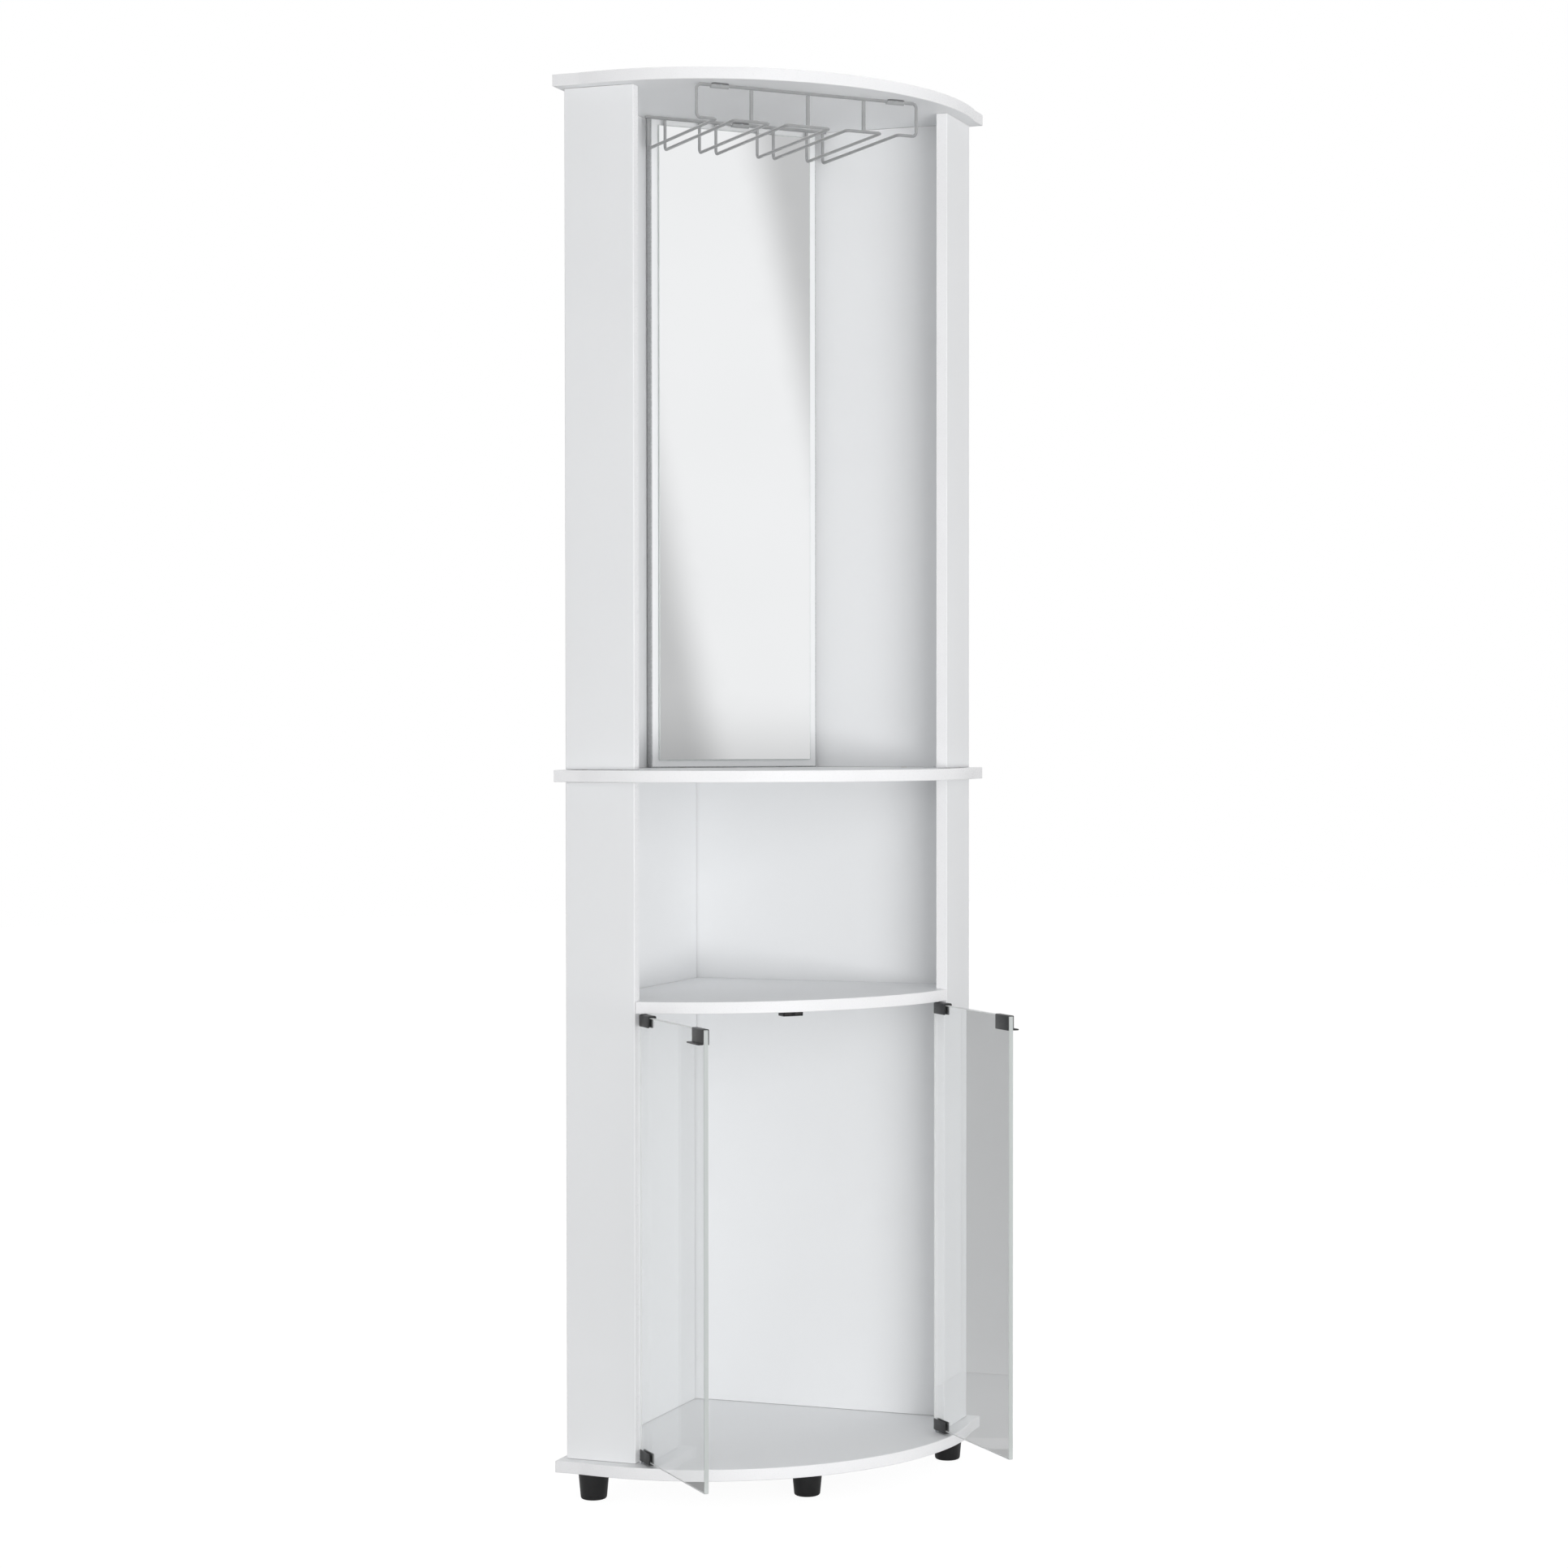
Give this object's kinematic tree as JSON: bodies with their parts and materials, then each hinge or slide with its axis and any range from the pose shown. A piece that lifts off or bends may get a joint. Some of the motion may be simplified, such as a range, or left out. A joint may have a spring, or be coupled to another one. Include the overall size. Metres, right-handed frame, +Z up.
{
  "type": "corner bar cabinet",
  "caption": "Tall white corner bar cabinet with bowed boards, mirrored upper bay, wire stemware rack, open niche and a cupboard with frameless glass doors on pivot hinges.",
  "frame": {"origin": "centre of the bounding box in plan, on the floor under the feet, with both doors open as at rest", "axes": "+Z up, -Y out of the bowed front along the diagonal, +Y into the room's corner, +X to the right seen from the front"},
  "size_m": [0.6072, 0.5714, 1.8],
  "materials": {
    "white_board": "matt white laminated board with white edging",
    "mirror": "silvered float glass",
    "door_glass": "clear float glass with a light grey tint and polished edges",
    "black_steel": "satin black painted sheet steel",
    "black_plastic": "moulded black plastic",
    "plated_steel": "zinc plated",
    "magnet_steel": "ferrite magnet with two pole plates",
    "rack_wire": "grey lacquered round steel wire",
    "clamp_liner": "soft grey plastic liner",
    "foam_tape": "white double-sided foam tape"
  },
  "bodies": {
    "cabinet": {"bottom_board": "white_board", "catch_left_magnet": "magnet_steel", "catch_left_screw": "plated_steel", "catch_right_magnet": "magnet_steel", "catch_right_screw": "plated_steel", "front_left_foot": "black_plastic", "front_left_foot_screw": "plated_steel", "front_middle_foot": "black_plastic", "front_middle_foot_screw": "plated_steel", "front_right_foot": "black_plastic", "front_right_foot_screw": "plated_steel", "left_floor_bush": "plated_steel", "left_shelf_bush": "plated_steel", "lower_left_return": "white_board", "lower_left_wall": "white_board", "lower_right_return": "white_board", "lower_right_wall": "white_board", "magnetic_catch_body": "black_plastic", "middle_board": "white_board", "mirror_backing_board": "white_board", "mirror_glass": "mirror", "mirror_left_tape": "foam_tape", "mirror_right_tape": "foam_tape", "niche_shelf": "white_board", "rack_front_left_clip": "rack_wire", "rack_front_left_clip_screw": "plated_steel", "rack_front_right_clip": "rack_wire", "rack_front_right_clip_screw": "plated_steel", "rack_left_hairpin": "rack_wire", "rack_middle_hairpin": "rack_wire", "rack_outer_wire": "rack_wire", "rack_rear_bar": "rack_wire", "rack_rear_clip": "rack_wire", "rack_rear_clip_screw": "plated_steel", "rack_right_hairpin": "rack_wire", "rear_corner_foot": "black_plastic", "rear_corner_foot_screw": "plated_steel", "right_floor_bush": "plated_steel", "right_shelf_bush": "plated_steel", "top_board": "white_board", "upper_left_return": "white_board", "upper_left_wall": "white_board", "upper_right_return": "white_board", "upper_right_wall": "white_board"},
    "left_door": {"left_door_glass": "door_glass", "left_door_top_clamp": "black_steel", "left_door_bottom_clamp": "black_steel", "left_door_top_clamp_liner": "clamp_liner", "left_door_bottom_clamp_liner": "clamp_liner", "left_door_top_pin": "plated_steel", "left_door_bottom_pin": "plated_steel", "left_door_strike_clip": "black_steel"},
    "right_door": {"right_door_glass": "door_glass", "right_door_top_clamp": "black_steel", "right_door_bottom_clamp": "black_steel", "right_door_top_clamp_liner": "clamp_liner", "right_door_bottom_clamp_liner": "clamp_liner", "right_door_top_pin": "plated_steel", "right_door_bottom_pin": "plated_steel", "right_door_strike_clip": "black_steel"}
  },
  "joints": [
    {"name": "left_door_hinge", "type": "hinge", "parent": "cabinet", "child": "left_door", "pos_m": [-0.20689, -0.08205, 0.33775], "axis": [0, 0, 1], "range_deg": [-60, 90]},
    {"name": "right_door_hinge", "type": "hinge", "parent": "cabinet", "child": "right_door", "pos_m": [0.20689, -0.08205, 0.33775], "axis": [0, 0, -1], "range_deg": [-60, 90]}
  ]
}
